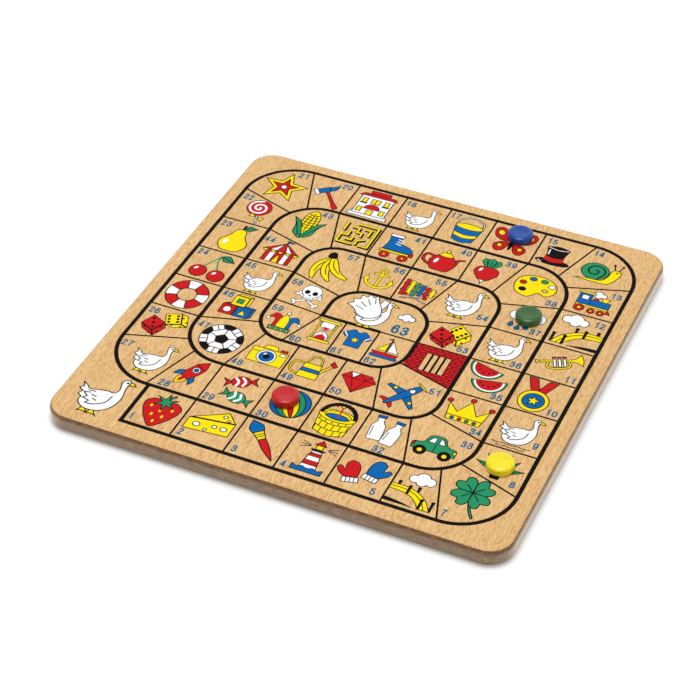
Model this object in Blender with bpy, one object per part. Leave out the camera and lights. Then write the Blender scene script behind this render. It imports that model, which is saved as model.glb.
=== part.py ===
"""Square wooden game board with four turned counters lying on its play face.

The board is a fibreboard core between two beech veneers. It is pressed, sawn and rounded over as
one blank, so all three layers share one outline and one edge profile.
Metres, +Z up. The origin is the centre of the underside, and -Y is the front edge.
"""
import math

import bmesh
import bpy
from mathutils import Vector

# Board blank, from corner to corner and through all three layers
BOARD_SIDE = 0.400
BOARD_THICKNESS = 0.016
CORNER_RADIUS = 0.022
ROUND_OVER_RADIUS = 0.004
VENEER_THICKNESS = 0.0006
GLUE_LINE = 0.0001

# Counters, all turned to one profile: full round shoulder, level rim, dished top, rounded foot
COUNTER_DIAMETER = 0.0225
COUNTER_HEIGHT = 0.0070
COUNTER_SHOULDER_RADIUS = 0.0024
COUNTER_FOOT_RADIUS = 0.0008
COUNTER_RIM_WIDTH = 0.0012
COUNTER_DISH_DEPTH = 0.0008
COUNTER_CLEARANCE = 0.0003

# Where each counter lies, along X and then Y: the edge of the board that it is measured from
# (-1 left or front, 1 right or back, 0 the middle) and its distance from there
COUNTER_PLACES = {
    "counter_red": ((0, -0.0249), (-1, 0.0917)),
    "counter_blue": ((0, 0.0709), (1, -0.0299)),
    "counter_green": ((1, -0.0827), (0, 0.0670)),
    "counter_yellow": ((1, -0.0394), (-1, 0.0895)),
}

# Finishes: sRGB colour and roughness
FIBREBOARD = ((140, 106, 74), 0.55)
BEECH_VENEER = ((232, 193, 135), 0.45)
COUNTER_PAINTS = {
    "counter_red": ((200, 30, 35), 0.3),
    "counter_blue": ((35, 72, 165), 0.3),
    "counter_green": ((60, 112, 72), 0.3),
    "counter_yellow": ((248, 228, 30), 0.3),
}

# Facets: along a corner, across a round-over, round a counter and along each arc of its profile
CORNER_SEGMENTS = 10
ROUND_OVER_SEGMENTS = 6
COUNTER_SEGMENTS = 48
PROFILE_SEGMENTS = 5

SMOOTH_BELOW = math.radians(30)
MERGE_DISTANCE = 1e-6


def finish(name, srgb, roughness):
    """A plain painted or lacquered surface, from an sRGB colour in 0 to 255."""
    linear = [((level / 255 + 0.055) / 1.055) ** 2.4 for level in srgb]
    material = bpy.data.materials.new(name)
    material.use_nodes = True
    shader = material.node_tree.nodes["Principled BSDF"]
    shader.inputs["Base Color"].default_value = (*linear, 1)
    shader.inputs["Roughness"].default_value = roughness
    shader.inputs["Metallic"].default_value = 0
    return material


def add_piece(name, shape, material, place=(0, 0, 0)):
    """Turn a finished bmesh into a named object, smooth except at its sharp edges."""
    mesh = bpy.data.meshes.new(name)
    shape.to_mesh(mesh)
    shape.free()
    mesh.shade_smooth()
    mesh.set_sharp_from_angle(angle=SMOOTH_BELOW)
    mesh.materials.append(material)
    piece = bpy.data.objects.new(name, mesh)
    piece.location = place
    bpy.context.collection.objects.link(piece)
    return piece


def rounded_blank():
    """The pressed blank: a square with round corners, rounded over along both faces."""
    shape = bmesh.new()
    bmesh.ops.create_grid(shape, x_segments=1, y_segments=1, size=BOARD_SIDE / 2)
    bmesh.ops.bevel(
        shape,
        geom=shape.verts[:],
        offset=CORNER_RADIUS,
        segments=CORNER_SEGMENTS,
        profile=0.5,
        affect="VERTICES",
    )
    risen = bmesh.ops.extrude_face_region(shape, geom=shape.faces[:])
    risen_verts = [item for item in risen["geom"] if isinstance(item, bmesh.types.BMVert)]
    bmesh.ops.translate(shape, verts=risen_verts, vec=(0, 0, BOARD_THICKNESS))
    bmesh.ops.recalc_face_normals(shape, faces=shape.faces[:])
    arrises = [edge for edge in shape.edges if edge.verts[0].co.z == edge.verts[1].co.z]
    bmesh.ops.bevel(
        shape,
        geom=arrises,
        offset=ROUND_OVER_RADIUS,
        segments=ROUND_OVER_SEGMENTS,
        profile=0.5,
        affect="EDGES",
    )
    return shape


def saw_off(shape, height, keep_above):
    """Cut a shape level at a height, keep one side of the cut and close it."""
    cut = bmesh.ops.bisect_plane(
        shape,
        geom=shape.verts[:] + shape.edges[:] + shape.faces[:],
        plane_co=(0, 0, height),
        plane_no=(0, 0, 1),
        clear_inner=keep_above,
        clear_outer=not keep_above,
    )
    rim = [item for item in cut["geom_cut"] if isinstance(item, bmesh.types.BMEdge)]
    bmesh.ops.contextual_create(shape, geom=rim)
    bmesh.ops.recalc_face_normals(shape, faces=shape.faces[:])


def board_layer(bottom=None, top=None):
    """One layer of the blank, between two levels. A level left out is the blank's own face."""
    shape = rounded_blank()
    if bottom is not None:
        saw_off(shape, bottom, keep_above=True)
    if top is not None:
        saw_off(shape, top, keep_above=False)
    return shape


def arc(centre, radius, start, end):
    """Points in the XZ plane along an arc, from one angle in degrees to another."""
    points = []
    for step in range(PROFILE_SEGMENTS + 1):
        angle = math.radians(start + (end - start) * step / PROFILE_SEGMENTS)
        points.append(Vector((centre[0] + radius * math.cos(angle), 0, centre[1] + radius * math.sin(angle))))
    return points


def counter_profile():
    """Half section of a counter, from the middle of its dished top to the middle of its foot."""
    radius = COUNTER_DIAMETER / 2
    dish = radius - COUNTER_SHOULDER_RADIUS - COUNTER_RIM_WIDTH
    bowl = (dish**2 + COUNTER_DISH_DEPTH**2) / (2 * COUNTER_DISH_DEPTH)
    dish_angle = math.degrees(math.asin(dish / bowl))
    shoulder = (radius - COUNTER_SHOULDER_RADIUS, COUNTER_HEIGHT - COUNTER_SHOULDER_RADIUS)
    foot = (radius - COUNTER_FOOT_RADIUS, COUNTER_FOOT_RADIUS)
    profile = arc((0, COUNTER_HEIGHT - COUNTER_DISH_DEPTH + bowl), bowl, -90, dish_angle - 90)
    profile += arc(shoulder, COUNTER_SHOULDER_RADIUS, 90, 0)
    profile += arc(foot, COUNTER_FOOT_RADIUS, 0, -90)
    profile.append(Vector((0, 0, 0)))
    return profile


def turned_counter():
    """A counter, its half section spun about its own upright axis."""
    shape = bmesh.new()
    points = [shape.verts.new(point) for point in counter_profile()]
    section = [shape.edges.new(pair) for pair in zip(points, points[1:])]
    bmesh.ops.spin(
        shape,
        geom=points + section,
        cent=(0, 0, 0),
        axis=(0, 0, 1),
        angle=math.tau,
        steps=COUNTER_SEGMENTS,
        use_merge=True,
    )
    bmesh.ops.remove_doubles(shape, verts=shape.verts[:], dist=MERGE_DISTANCE)
    bmesh.ops.recalc_face_normals(shape, faces=shape.faces[:])
    return shape


for old in list(bpy.data.objects):
    bpy.data.objects.remove(old)

beech = finish("beech_veneer", *BEECH_VENEER)
back_top = VENEER_THICKNESS
face_bottom = BOARD_THICKNESS - VENEER_THICKNESS
add_piece("back_veneer", board_layer(top=back_top), beech)
add_piece(
    "core_panel",
    board_layer(bottom=back_top + GLUE_LINE, top=face_bottom - GLUE_LINE),
    finish("fibreboard", *FIBREBOARD),
)
add_piece("face_veneer", board_layer(bottom=face_bottom), beech)

for counter, along in COUNTER_PLACES.items():
    x, y = (edge * BOARD_SIDE / 2 + distance for edge, distance in along)
    paint = finish(counter + "_paint", *COUNTER_PAINTS[counter])
    add_piece(counter, turned_counter(), paint, (x, y, BOARD_THICKNESS + COUNTER_CLEARANCE))
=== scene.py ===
import math

import bmesh
import bpy
from mathutils import Matrix, Vector
from mathutils.geometry import delaunay_2d_cdt, interpolate_bezier, normal


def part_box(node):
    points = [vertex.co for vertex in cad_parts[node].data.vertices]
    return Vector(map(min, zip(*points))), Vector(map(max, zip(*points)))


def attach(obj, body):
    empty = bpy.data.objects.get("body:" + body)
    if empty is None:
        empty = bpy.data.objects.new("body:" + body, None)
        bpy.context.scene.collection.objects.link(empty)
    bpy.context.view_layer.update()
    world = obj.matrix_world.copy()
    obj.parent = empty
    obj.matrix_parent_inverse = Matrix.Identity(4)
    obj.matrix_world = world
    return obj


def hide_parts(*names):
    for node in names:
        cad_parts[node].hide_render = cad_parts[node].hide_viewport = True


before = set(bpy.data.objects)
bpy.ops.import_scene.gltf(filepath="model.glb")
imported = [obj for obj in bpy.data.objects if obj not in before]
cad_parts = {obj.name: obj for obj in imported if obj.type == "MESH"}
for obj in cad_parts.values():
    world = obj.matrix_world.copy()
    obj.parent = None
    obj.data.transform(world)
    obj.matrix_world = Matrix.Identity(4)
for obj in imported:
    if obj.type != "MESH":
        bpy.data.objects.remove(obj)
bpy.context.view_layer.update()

# Core panel: a fibreboard blank between two veneers, sawn square with round corners, then rounded
# over along both faces with a quarter-round cutter. Its lacquered edge is the brown band that shows.
CORNER_RADIUS = 0.022
CORNER_SEGMENTS = 24
ROUND_OVER_RADIUS = 0.004
ROUND_OVER_SEGMENTS = 10
MERGE_DISTANCE = 1e-6
FIBRE_DARK = (64, 40, 20)
FIBRE_BROWN = (174, 131, 84)
# Painted shade: a darker grey tint multiplied into the foot of the edge, standing in for the reflected
# contact shadow
PAINTED_FOOT_SHADE = (150, 145, 140)
# Painted shade: a darker, warmer tint multiplied into the upper rounding, which faces up towards the dimmer
# room
PAINTED_TOP_SHADE = (225, 200, 175)

core_low, core_high = (Vector(corner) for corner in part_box("core_panel"))
back_high = Vector(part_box("back_veneer")[1])
face_low, face_high = (Vector(corner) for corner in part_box("face_veneer"))
board_side = core_high.x - core_low.x
board_top = face_high.z


def linear(srgb):
    """An sRGB colour in 0 to 255 as the linear colour that a shader takes."""
    return (*(((level / 255 + 0.055) / 1.055) ** 2.4 for level in srgb), 1)


def rounded_blank():
    """The whole blank, through all three layers."""
    shape = bmesh.new()
    bmesh.ops.create_grid(shape, x_segments=1, y_segments=1, size=board_side / 2)
    bmesh.ops.bevel(
        shape,
        geom=shape.verts[:],
        offset=CORNER_RADIUS,
        segments=CORNER_SEGMENTS,
        profile=0.5,
        affect="VERTICES",
        material=-1,
    )
    risen = bmesh.ops.extrude_face_region(shape, geom=shape.faces[:])
    risen_verts = [item for item in risen["geom"] if isinstance(item, bmesh.types.BMVert)]
    bmesh.ops.translate(shape, verts=risen_verts, vec=(0, 0, board_top))
    bmesh.ops.recalc_face_normals(shape, faces=shape.faces[:])
    arrises = [edge for edge in shape.edges if edge.verts[0].co.z == edge.verts[1].co.z]
    bmesh.ops.bevel(
        shape,
        geom=arrises,
        offset=ROUND_OVER_RADIUS,
        segments=ROUND_OVER_SEGMENTS,
        profile=0.5,
        affect="EDGES",
        material=-1,
    )
    return shape


def saw_off(shape, height, keep_above):
    """Cut the blank level at a height, keep one side and close the cut."""
    cut = bmesh.ops.bisect_plane(
        shape,
        geom=shape.verts[:] + shape.edges[:] + shape.faces[:],
        plane_co=(0, 0, height),
        plane_no=(0, 0, 1),
        clear_inner=keep_above,
        clear_outer=not keep_above,
    )
    rim = [item for item in cut["geom_cut"] if isinstance(item, bmesh.types.BMEdge)]
    bmesh.ops.contextual_create(shape, geom=rim)
    bmesh.ops.recalc_face_normals(shape, faces=shape.faces[:])


def add_piece(name, shape, material, body, sharp_above=30):
    """A finished bmesh as a named piece that moves with a body, smooth up to a crease angle in degrees."""
    mesh = bpy.data.meshes.new(name)
    shape.to_mesh(mesh)
    shape.free()
    mesh.shade_smooth()
    mesh.set_sharp_from_angle(angle=math.radians(sharp_above))
    mesh.materials.append(material)
    piece = bpy.data.objects.new(name, mesh)
    bpy.context.collection.objects.link(piece)
    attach(piece, body)
    return piece


class Finish:
    """A material under construction: its Principled shader, and nodes added by their short names."""

    def __init__(self, name):
        self.material = bpy.data.materials.new(name)
        self.material.use_nodes = True
        self.tree = self.material.node_tree
        self.shader = self.tree.nodes["Principled BSDF"]

    def set(self, **values):
        for socket, value in values.items():
            self.shader.inputs[socket.replace("_", " ")].default_value = value

    def node(self, kind, inputs=None, **settings):
        return add_node(self.tree, kind, inputs, **settings)

    def link(self, source, socket):
        self.tree.links.new(source, self.shader.inputs[socket])


def add_node(tree, kind, inputs=None, **settings):
    """A node with its settings. An input takes a plain value, or another node's output as a link."""
    node = tree.nodes.new("ShaderNode" + kind)
    for name, value in settings.items():
        setattr(node, name, value)
    for name, value in (inputs or {}).items():
        if isinstance(value, bpy.types.NodeSocket):
            tree.links.new(value, node.inputs[name])
        else:
            node.inputs[name].default_value = value
    return node


def ramp(tree, value, low, high, low_at=0.0, high_at=1.0):
    """Blend between two sRGB colours as a value goes from low_at to high_at."""
    node = add_node(tree, "ValToRGB", {"Fac": value})
    stops = node.color_ramp.elements
    stops[0].position = low_at
    stops[0].color = linear(low)
    stops[1].position = high_at
    stops[1].color = linear(high)
    return node.outputs["Color"]


def stretch(tree, places, per_metre):
    """Coordinates scaled so that a noise of scale 1 has this many lumps to the metre along X, Y and Z."""
    return add_node(tree, "Mapping", {"Vector": places, "Scale": per_metre}).outputs["Vector"]


def noise(tree, vector, detail=2.0, roughness=0.5):
    return add_node(
        tree, "TexNoise", {"Vector": vector, "Scale": 1.0, "Detail": detail, "Roughness": roughness}
    ).outputs["Fac"]


def fibreboard_finish():
    finish = Finish("lacquered_fibreboard")
    finish.set(Roughness=0.35, Specular_IOR_Level=0.25, Coat_Weight=1.0, Coat_IOR=1.35, Coat_Roughness=0.15)
    finish.set(Sheen_Weight=0.9, Sheen_Roughness=0.5, Sheen_Tint=(1, 0.86, 0.66, 1))
    places = finish.node("TexCoord").outputs["Object"]
    fibres = noise(finish.tree, stretch(finish.tree, places, (700, 700, 1400)), 4, 0.62)
    patches = noise(finish.tree, stretch(finish.tree, places, (150, 150, 420)), 3, 0.6)
    mix = finish.node("Mix", {"Factor": 0.45, 2: fibres, 3: patches}, data_type="FLOAT")
    brown = ramp(finish.tree, mix.outputs[0], FIBRE_DARK, FIBRE_BROWN, 0.37, 0.63)
    height = finish.node("SeparateXYZ", {"Vector": places}).outputs["Z"]
    share = finish.node("Math", {0: height, 1: 1 / board_top}, operation="MULTIPLY").outputs["Value"]
    # Painted shade: the edge's colour darkens and greys towards its foot, in place of the reflected contact
    # shadow
    foot = ramp(finish.tree, share, PAINTED_FOOT_SHADE, (255, 255, 255), 0.16, 0.36)
    # Painted shade: the upper rounding darkens and warms, standing in for the dimmer room it faces
    crest = ramp(finish.tree, share, (255, 255, 255), PAINTED_TOP_SHADE, 0.72, 0.86)
    # The two painted shades of the edge, multiplied together
    painted_edge_shade = finish.node("MixRGB", {"Fac": 1.0, "Color1": foot, "Color2": crest}, blend_type="MULTIPLY")
    colour = {"Fac": 1.0, "Color1": brown, "Color2": painted_edge_shade.outputs["Color"]}
    finish.link(finish.node("MixRGB", colour, blend_type="MULTIPLY").outputs["Color"], "Base Color")
    bump = finish.node("Bump", {"Height": fibres, "Strength": 0.12, "Distance": 0.0003})
    finish.link(bump.outputs["Normal"], "Normal")
    return finish.material


core = rounded_blank()
saw_off(core, core_low.z, keep_above=True)
saw_off(core, core_high.z, keep_above=False)
core_piece = add_piece("core_board", core, fibreboard_finish(), "board")
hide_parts("core_panel")

# Veneers: rotary-cut beech glued on both faces before the edge is rounded, so their rims roll over
# with it. The grain runs front to back, with the short dark flecks of beech, under satin lacquer.
BEECH_LIGHT = (247, 209, 150)
BEECH_DARK = (202, 156, 98)
BEECH_FLECK = (192, 132, 70)


def beech_group():
    """Figure of the veneer: its colour, a mask of its flecks and the height of its pores."""
    group = bpy.data.node_groups.new("beech_figure", "ShaderNodeTree")
    group.interface.new_socket("Place", in_out="INPUT", socket_type="NodeSocketVector")
    group.interface.new_socket("Colour", in_out="OUTPUT", socket_type="NodeSocketColor")
    group.interface.new_socket("Fleck", in_out="OUTPUT", socket_type="NodeSocketFloat")
    group.interface.new_socket("Height", in_out="OUTPUT", socket_type="NodeSocketFloat")
    places = group.nodes.new("NodeGroupInput").outputs["Place"]
    ends = group.nodes.new("NodeGroupOutput")
    bands = noise(group, stretch(group, places, (38, 1.6, 38)), 3, 0.55)
    fibres = noise(group, stretch(group, places, (800, 14, 800)), 3, 0.6)
    streaks = noise(group, stretch(group, places, (1000, 140, 1000)), 2, 0.5)
    flecks = noise(group, stretch(group, places, (1400, 210, 1400)), 1, 0.5)
    broad = add_node(group, "Mix", {"Factor": 0.82, 2: bands, 3: fibres}, data_type="FLOAT").outputs[0]
    tone = add_node(group, "Mix", {"Factor": 0.4, 2: broad, 3: streaks}, data_type="FLOAT").outputs[0]
    wood = ramp(group, tone, BEECH_DARK, BEECH_LIGHT, 0.27, 0.69)
    darkest = {"Value": flecks, "From Min": 0.53, "From Max": 0.63}
    fleck = add_node(group, "MapRange", darkest).outputs["Result"]
    strength = add_node(group, "Math", {0: fleck, 1: 0.62}, operation="MULTIPLY").outputs["Value"]
    colour = add_node(group, "MixRGB", {"Fac": strength, "Color1": wood, "Color2": linear(BEECH_FLECK)})
    depth = add_node(group, "Math", {0: fibres, 1: fleck}, operation="SUBTRACT").outputs["Value"]
    group.links.new(colour.outputs["Color"], ends.inputs["Colour"])
    group.links.new(fleck, ends.inputs["Fleck"])
    group.links.new(depth, ends.inputs["Height"])
    return group


beech_figure = beech_group()


def beech_finish():
    finish = Finish("lacquered_beech")
    finish.set(Roughness=0.55, Specular_IOR_Level=0.15)
    places = finish.node("TexCoord").outputs["Object"]
    figure = finish.node("Group", node_tree=beech_figure)
    finish.tree.links.new(places, figure.inputs["Place"])
    finish.link(figure.outputs["Colour"], "Base Color")
    bump = finish.node("Bump", {"Height": figure.outputs["Height"], "Strength": 0.06, "Distance": 0.0002})
    finish.link(bump.outputs["Normal"], "Normal")
    return finish.material


beech = beech_finish()
face = rounded_blank()
saw_off(face, face_low.z, keep_above=True)
face_piece = add_piece("face_sheet", face, beech, "board")
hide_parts("face_veneer")
back = rounded_blank()
saw_off(back, back_high.z, keep_above=False)
back_piece = add_piece("back_sheet", back, beech, "board")
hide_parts("back_veneer")

# Track: the traditional goose-game spiral of 63 spaces, screen printed on the face in black. One
# thick line winds from the start to the middle, and thin lines part the spaces.
MILLIMETRE = 0.001
TRACK_MIDDLE = (-0.1, 1.0)
RINGS = ((184.5, 47.0), (137.5, 39.0), (90.5, 28.0), (43.5, 27.0))
GRID_LINES = (-184.5, -137.5, -90.5, -43.5, 0.0, 43.5, 90.5, 137.5, 184.5)
RUNS = (7, 7, 7, 6, 6, 5, 5, 4, 4, 3, 3, 2)
HEADINGS = ((1, 0), (0, 1), (-1, 0), (0, -1))
START_LINE = -134.3
FINISH_LINE = 10.0
TRACK_LINE = 3.55
SPACE_LINE = 1.62
SLANT = 8.0
LAST_DIVIDERS = (
    ((-43.5, 0), (-90.5, 3.8)),
    ((-43.5, 0), (-60.5, -43.5)),
    ((-20.1, 0), (-20.1, -43.5)),
    ((FINISH_LINE, 0), (FINISH_LINE, -43.5)),
    ((FINISH_LINE, 0), (43.5, 0)),
)
KEYLINE = 0.75
BEND_STEPS = 12
CURVE_STEPS = 5
ROUND_STEPS = 28
BLUNT_END = 0.4


def polar(radius, degrees, x=0, y=0):
    """The point at a radius and an angle about a middle."""
    angle = math.radians(degrees)
    return x + radius * math.cos(angle), y + radius * math.sin(angle)


def spun(point, degrees, x=0, y=0):
    """A point turned about zero, then moved."""
    angle = math.radians(degrees)
    right, rise = point
    return (
        x + right * math.cos(angle) - rise * math.sin(angle),
        y + right * math.sin(angle) + rise * math.cos(angle),
    )


def ribbon(width, points):
    """The outline of a stripe along a path, cut square at its ends."""
    spots = [Vector(point) for point in points]
    left, right = [], []
    for index, spot in enumerate(spots):
        behind = (spot - spots[max(index - 1, 0)]).normalized()
        ahead = (spots[min(index + 1, len(spots) - 1)] - spot).normalized()
        along = (ahead + behind).normalized()
        side = Vector((-along.y, along.x))
        reach = width / 2 / max(along.dot(ahead), along.dot(behind))
        left.append(spot + side * reach)
        right.append(spot - side * reach)
    return [tuple(spot) for spot in (*left, *reversed(right))]


def inset(outline, depth):
    """An outline drawn in by a depth."""
    shape = bmesh.new()
    face = shape.faces.new([shape.verts.new((x, y, 0)) for x, y in outline])
    face.normal_update()
    bmesh.ops.inset_individual(shape, faces=[face], thickness=depth, use_even_offset=True)
    drawn_in = [tuple(vert.co.xy) for vert in face.verts]
    shape.free()
    return drawn_in


def bend(points, closed):
    """A smooth curve through points. A point given twice running makes a sharp corner."""
    last = len(points) - 1
    curve = []
    for index in range(len(points) if closed else last):
        places = range(index - 1, index + 3)
        if closed:
            knots = [points[place % len(points)] for place in places]
        else:
            knots = [points[min(max(place, 0), last)] for place in places]
        before, start, end, after = (Vector(knot) for knot in knots)
        if start == end:
            continue
        handles = (start + (end - before) / 6, end - (after - start) / 6)
        stretch_points = interpolate_bezier(start, *handles, end, CURVE_STEPS + 1)
        curve += [tuple(spot) for spot in stretch_points[:-1]]
    return curve if closed else [*curve, points[-1]]


def stroke(width, *points):
    """The outline of a stripe along a smooth path, with blunted points for ends."""
    path = [Vector(point) for point in bend(points, closed=False)]
    outline = ribbon(width, path)
    nose = path[-1] + (path[-1] - path[-2]).normalized() * width * BLUNT_END
    heel = path[0] + (path[0] - path[1]).normalized() * width * BLUNT_END
    return [*outline[: len(path)], tuple(nose), *outline[len(path) :], tuple(heel)]


class Pen:
    """Draws in millimetres about a middle of its own, laying shapes one over another on a plate."""

    def __init__(self, plate, x, y, turn=0, size=1, flip=False, base=None):
        self.plate = plate
        self.middle = (x, y)
        self.turn = turn
        self.size = (-size if flip else size, size)
        self.base = base

    def at(self, x, y, turn=0, size=1, flip=False):
        """A pen for a detail that is placed, turned, sized or mirrored within this one's picture."""
        return Pen(self.plate, x, y, turn, size, flip, self)

    def sides(self, x=0, y=0, turn=0):
        """Two pens for a detail that is drawn as it is and mirrored."""
        return [self.at(x, y, turn, flip=flip) for flip in (False, True)]

    def place(self, point):
        spot = spun((point[0] * self.size[0], point[1] * self.size[1]), self.turn, *self.middle)
        return self.base.place(spot) if self.base else spot

    def flat(self, ink, *outlines):
        """Shapes of plain ink."""
        for outline in outlines:
            self.plate.append((ink, [self.place(point) for point in outline]))

    def fill(self, ink, *outlines):
        """Shapes of ink inside one black keyline round them all."""
        self.flat("black", *outlines)
        self.flat(ink, *(inset(outline, KEYLINE) for outline in outlines))

    def line(self, *points, width=KEYLINE, ink="black"):
        """A smooth line."""
        self.flat(ink, stroke(width, *points))


def rounded(corners):
    """A path of straight stretches whose corners, given as x, y and radius, are arcs."""
    path = []
    for index, (x, y, radius) in enumerate(corners):
        if not radius:
            path.append((x, y))
            continue
        corner = Vector((x, y))
        into = (corner - Vector(corners[index - 1][:2])).normalized() * radius
        onward = (Vector(corners[index + 1][:2]) - corner).normalized() * radius
        for step in range(BEND_STEPS + 1):
            angle = math.pi / 2 * step / BEND_STEPS
            path.append(tuple(corner - into + onward - onward * math.cos(angle) + into * math.sin(angle)))
    return path


def spiral_corners():
    """The corners of the thick line, from the start to the finish."""
    corners = [(START_LINE, -RINGS[0][0], 0)]
    for (half, radius), (next_half, _) in zip(RINGS, (*RINGS[1:], (0, 0))):
        corners += [(half, -half, radius), (half, half, radius), (-half, half, radius)]
        corners.append((-half, -next_half, radius if next_half else 0))
    return [*corners, (FINISH_LINE, 0, 0)]


def track_cells():
    """The column and row of each space that fills a cell of the grid, with a mark on those at bends."""
    column, row = 0, 0
    cells = []
    for run, length in enumerate(RUNS):
        right, up = HEADINGS[run % 4]
        for step in range(1, length + 1):
            column += right
            row += up
            cells.append((column, row, step == length))
    return cells


def divider(cell, following):
    """The thin line between two spaces. At a bend it slants towards the middle of the inner arc."""
    (column, row, _), (next_column, next_row, _) = cell, following
    sideways = row == next_row
    if sideways:
        edge = GRID_LINES[max(column, next_column)]
        ends = [(edge, GRID_LINES[row]), (edge, GRID_LINES[row + 1])]
    else:
        edge = GRID_LINES[max(row, next_row)]
        ends = [(GRID_LINES[column], edge), (GRID_LINES[column + 1], edge)]
    ends.sort(key=lambda end: math.hypot(*end))
    if cell[2] or following[2]:
        (x, y), radius = ends[0], dict(RINGS)[abs(ends[0][0])]
        right, up = math.copysign(1, x), math.copysign(1, y)
        lean = math.degrees(SLANT / radius) * right * up
        degrees = math.degrees(math.atan2(up, right)) + (lean if sideways else -lean)
        ends[0] = polar(radius, degrees, x - right * radius, y - up * radius)
    return ends


face_plates = [[]]
track_pen = Pen(face_plates[0], *TRACK_MIDDLE)
cells = track_cells()
track_pen.flat("black", ribbon(TRACK_LINE, rounded(spiral_corners())))
start_foot = -RINGS[0][0] - TRACK_LINE / 2
track_pen.flat("black", ribbon(TRACK_LINE, [(START_LINE, -RINGS[1][0]), (START_LINE, start_foot)]))
for cell, following in zip(cells[:-2], cells[1:-1]):
    # Give a flat film its thickness, sunk a little into the wood.
    track_pen.flat("black", ribbon(SPACE_LINE, divider(cell, following)))
for ends in LAST_DIVIDERS:
    track_pen.flat("black", ribbon(SPACE_LINE, ends))

# Numbers: plain figures drawn with an even line, one in a corner of most spaces and a larger one at the
# finish, screen printed on the face with the track, in a duller blue than that of the pictures.
NUMBER_INK = "petrol"
NUMBER_HEIGHT = 6.2
FINISH_NUMBER_HEIGHT = 9.5
FINISH_NUMBER_PLACE = (24.4, 8.8)
FIGURE_LINE = 0.215
FIGURE_WIDTH = 0.56
FIGURE_STEP = 0.86
FIGURES = {
    "0": (
        (0.28, 1), (0.48, 0.86), (0.53, 0.5), (0.48, 0.14), (0.28, 0), (0.08, 0.14), (0.03, 0.5),
        (0.08, 0.86), (0.28, 1),
    ),
    "1": ((0.12, 0.76), (0.27, 0.82), (0.37, 1), (0.37, 1), (0.37, 0)),
    "2": (
        (0.05, 0.7), (0.11, 0.92), (0.28, 1), (0.47, 0.9), (0.49, 0.68), (0.17, 0.26), (0.04, 0),
        (0.04, 0), (0.53, 0),
    ),
    "3": (
        (0.05, 0.76), (0.12, 0.94), (0.28, 1), (0.45, 0.92), (0.46, 0.68), (0.23, 0.54),
        (0.23, 0.54), (0.47, 0.46), (0.52, 0.2), (0.28, 0), (0.1, 0.06), (0.03, 0.26),
    ),
    "4": ((0.55, 0.28), (0.02, 0.28), (0.02, 0.28), (0.4, 1), (0.4, 1), (0.4, 0)),
    "5": (
        (0.49, 1), (0.13, 1), (0.13, 1), (0.07, 0.5), (0.07, 0.5), (0.28, 0.61), (0.5, 0.48),
        (0.51, 0.18), (0.3, 0), (0.11, 0.05), (0.03, 0.24),
    ),
    "6": (
        (0.5, 0.78), (0.43, 0.95), (0.28, 1), (0.1, 0.86), (0.03, 0.46), (0.09, 0.12), (0.28, 0),
        (0.48, 0.1), (0.52, 0.34), (0.43, 0.57), (0.27, 0.62), (0.1, 0.53), (0.03, 0.34),
    ),
    "7": ((0.03, 1), (0.53, 1), (0.53, 1), (0.32, 0.58), (0.2, 0)),
    "8": (
        (0.28, 0.54), (0.45, 0.63), (0.46, 0.89), (0.28, 1), (0.1, 0.89), (0.11, 0.63),
        (0.28, 0.54), (0.5, 0.42), (0.51, 0.12), (0.28, 0), (0.05, 0.12), (0.06, 0.42),
        (0.28, 0.54),
    ),
    "9": (
        (0.06, 0.22), (0.13, 0.05), (0.28, 0), (0.46, 0.14), (0.53, 0.54), (0.47, 0.88), (0.28, 1),
        (0.08, 0.9), (0.04, 0.66), (0.13, 0.43), (0.29, 0.38), (0.46, 0.47), (0.53, 0.66),
    ),
}
NUMBER_CORNERS = {"SW": (-15, -15.5), "SE": (14.5, -15), "NE": (14, 15.5), "NW": (-15, 15.5)}
NUMBERED = {
    "SW": (1, 3, 48, 49, 50),
    "SE": (5, 10, 11, 34, 35, 36, 37, 53, 54),
    "NE": (12, 20, 33, 40, 41, 51, 56),
    "NW": (15, 17, 18, 23, 24, 26, 27, 45, 46, 47, 59),
}
MOVED_NUMBERS = {
    2: (-17.5, -15.2), 4: (-16.3, -15.3), 7: (-21.4, -14), 8: (15.2, -11.6), 9: (16.5, -11.1),
    13: (14.4, 10.7), 14: (-18.6, 14.9), 21: (17, 15.2), 22: (-15, 12.4), 28: (-10, -16.4),
    29: (-16.6, -16.3), 30: (-13.4, -17.3), 32: (-0.7, -17.5), 38: (13.7, -20.2), 39: (10.9, 15.7),
    43: (15.8, 15.5), 44: (-16.2, 10.2), 55: (10, 15), 57: (15.4, 15.5), 58: (-14.6, 10.4),
}
LAST_NUMBERS = {60: (-51.1, -36.9), 61: (-13.6, -36.9), 62: (16.9, -36.9)}


def cell_middle(cell):
    column, row, _ = cell
    return (
        (GRID_LINES[column] + GRID_LINES[column + 1]) / 2,
        (GRID_LINES[row] + GRID_LINES[row + 1]) / 2,
    )


def print_number(number, x, y, height):
    """A plate with a number whose figures have this height, centred on a place."""
    plate = []
    figures = str(number)
    length = FIGURE_STEP * (len(figures) - 1) + FIGURE_WIDTH
    pen = Pen(plate, *TRACK_MIDDLE).at(x, y, size=height)
    for place, figure in enumerate(figures):
        figure_pen = pen.at(FIGURE_STEP * place - length / 2, -0.5)
        figure_pen.line(*FIGURES[figure], width=FIGURE_LINE, ink=NUMBER_INK)
    face_plates.append(plate)


number_corners = {number: NUMBER_CORNERS[corner] for corner, group in NUMBERED.items() for number in group}
number_corners.update(MOVED_NUMBERS)
for number, (right, up) in number_corners.items():
    x, y = cell_middle(cells[number - 1])
    print_number(number, x + right, y + up, NUMBER_HEIGHT)
for number, (x, y) in LAST_NUMBERS.items():
    print_number(number, x, y, NUMBER_HEIGHT)
print_number(63, *FINISH_NUMBER_PLACE, FINISH_NUMBER_HEIGHT)

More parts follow.
